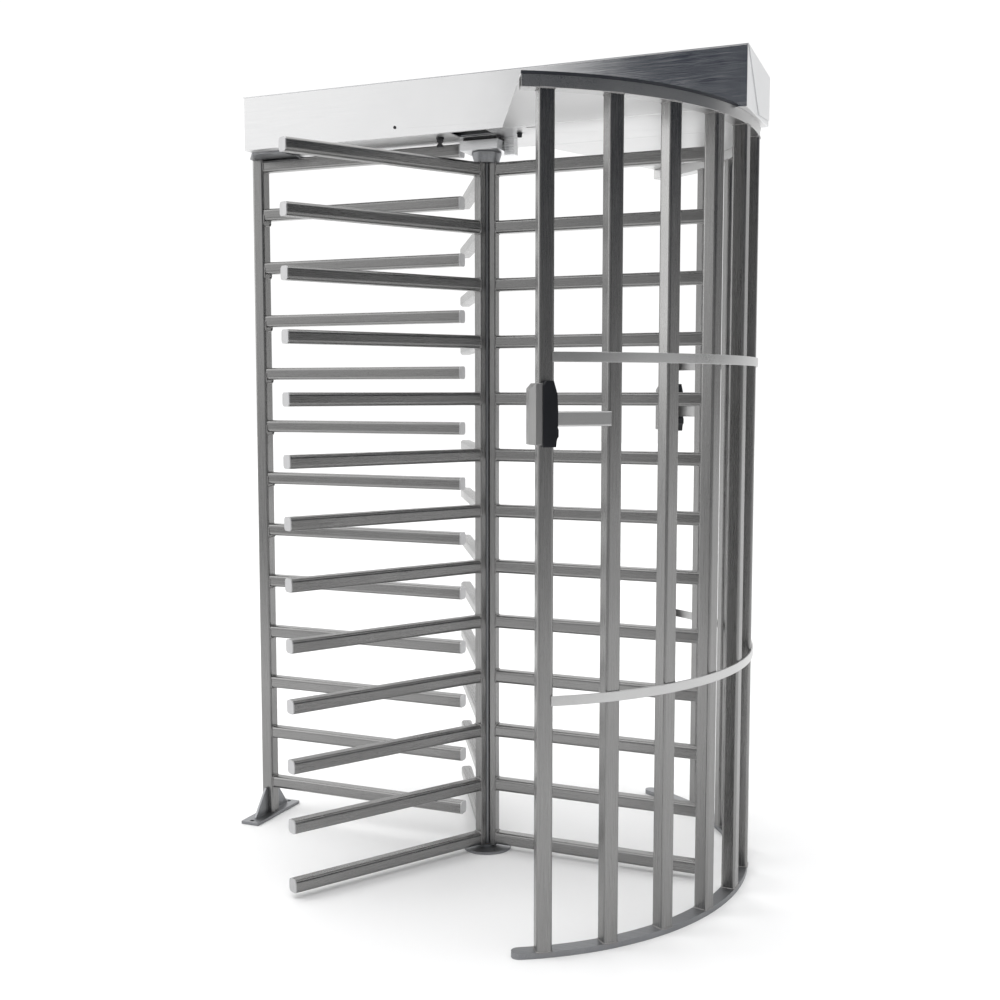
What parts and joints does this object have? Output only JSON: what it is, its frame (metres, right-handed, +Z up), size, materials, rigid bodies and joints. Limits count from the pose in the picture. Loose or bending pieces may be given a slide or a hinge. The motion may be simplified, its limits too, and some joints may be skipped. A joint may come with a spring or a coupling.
{
  "type": "full height turnstile",
  "caption": "Full-height visitor counter turnstile with a three-wing rotor, comb barrier, curved bar cage and overhead drive box.",
  "frame": {"origin": "centre of the rotor's floor flange, on the floor, on the rotor's axis", "axes": "+X to the cage, +Y to the back, +Z up"},
  "size_m": [1.6215, 1.4201, 2.3],
  "materials": {
    "brushed_tube": "satin, brushed along the tube",
    "brushed_sheet": "satin sheet, brushed lengthways",
    "cap_steel": "light satin",
    "foot_steel": "dull satin",
    "pin_steel": "ground",
    "black_rubber": "matte",
    "black_metal": "satin black",
    "black_plastic": "fine texture",
    "grey_plastic": "fine texture",
    "bush_bronze": "machined"
  },
  "bodies": {
    "frame": {"barrier_post": "brushed_tube", "post_foot": "foot_steel", "post_top_bracket": "foot_steel", "comb_bars": "brushed_tube", "comb_end_caps": "cap_steel", "cage_bars": "brushed_tube", "cage_top_ring": "brushed_tube", "cage_top_seal": "black_rubber", "cage_bottom_ring": "brushed_tube", "upper_cage_band": "brushed_sheet", "lower_cage_band": "brushed_sheet", "front_canopy_plate": "brushed_sheet", "rear_canopy_plate": "brushed_sheet", "header_base_plate": "brushed_sheet", "header_front_panel": "brushed_sheet", "header_rear_panel": "brushed_sheet", "header_left_end": "brushed_sheet", "header_right_end": "brushed_sheet", "header_beams": "foot_steel", "lid_hinge_leaves": "foot_steel", "lid_hinge_pins": "pin_steel", "panel_screw": "black_metal", "cable_gland": "black_plastic", "bearing_spacer": "black_metal", "upper_bearing_block": "cap_steel", "upper_bush": "bush_bronze", "floor_flange": "foot_steel", "lower_bush": "bush_bronze", "pawl_pins": "pin_steel", "entry_solenoid": "black_metal", "exit_solenoid": "black_metal", "count_sensor": "black_plastic", "damper_bracket": "foot_steel", "rotary_damper": "black_metal", "control_box": "grey_plastic", "power_supply": "foot_steel", "junction_box": "cap_steel", "lock_cylinder": "black_metal", "entry_reader_housing": "brushed_sheet", "entry_reader_cover": "black_plastic", "entry_reader_tube": "brushed_tube", "exit_reader_housing": "brushed_sheet", "exit_reader_cover": "black_plastic", "exit_reader_tube": "brushed_tube"},
    "rotor": {"rotor_core": "foot_steel", "rotor_hub": "foot_steel", "wing_a_upright": "brushed_tube", "wing_b_upright": "brushed_tube", "wing_c_upright": "brushed_tube", "wing_a_arms": "brushed_tube", "wing_b_arms": "brushed_tube", "wing_c_arms": "brushed_tube", "arm_end_caps": "cap_steel", "index_disc": "pin_steel"},
    "entry_pawl": {"entry_pawl": "pin_steel"},
    "exit_pawl": {"exit_pawl": "pin_steel"},
    "entry_plunger": {"entry_plunger": "pin_steel"},
    "exit_plunger": {"exit_plunger": "pin_steel"},
    "lid": {"header_lid": "brushed_sheet"},
    "lock_plug": {"lock_plug": "black_metal"}
  },
  "joints": [
    {"name": "rotor_turn", "type": "hinge", "parent": "frame", "child": "rotor", "pos_m": [0, 0, 1], "axis": [0, 0, 1], "continuous": true},
    {"name": "entry_pawl_swing", "type": "hinge", "parent": "frame", "child": "entry_pawl", "pos_m": [-0.095, 0.09, 2.192], "axis": [0, 0, 1], "range_deg": [0, 7], "stiffness_Nm_per_rad": 0.5},
    {"name": "exit_pawl_swing", "type": "hinge", "parent": "frame", "child": "exit_pawl", "pos_m": [0.095, 0.09, 2.192], "axis": [0, 0, -1], "range_deg": [0, 7], "stiffness_Nm_per_rad": 0.5},
    {"name": "entry_plunger_slide", "type": "slide", "parent": "frame", "child": "entry_plunger", "axis": [-1, 0, 0], "range_m": [0, 0.004]},
    {"name": "exit_plunger_slide", "type": "slide", "parent": "frame", "child": "exit_plunger", "axis": [1, 0, 0], "range_m": [0, 0.004]},
    {"name": "lid_swing", "type": "hinge", "parent": "frame", "child": "lid", "pos_m": [0, 0.151, 2.26665], "axis": [-1, 0, 0], "range_deg": [0, 75]},
    {"name": "lock_turn", "type": "hinge", "parent": "frame", "child": "lock_plug", "pos_m": [-0.111, -0.086, 2.145], "axis": [0, 0, 1], "range_deg": [0, 90]}
  ],
  "couplings": [
    {"joint": "entry_plunger_slide", "follows": "entry_pawl_swing", "m_per_rad": 0.028},
    {"joint": "exit_plunger_slide", "follows": "exit_pawl_swing", "m_per_rad": 0.028}
  ]
}
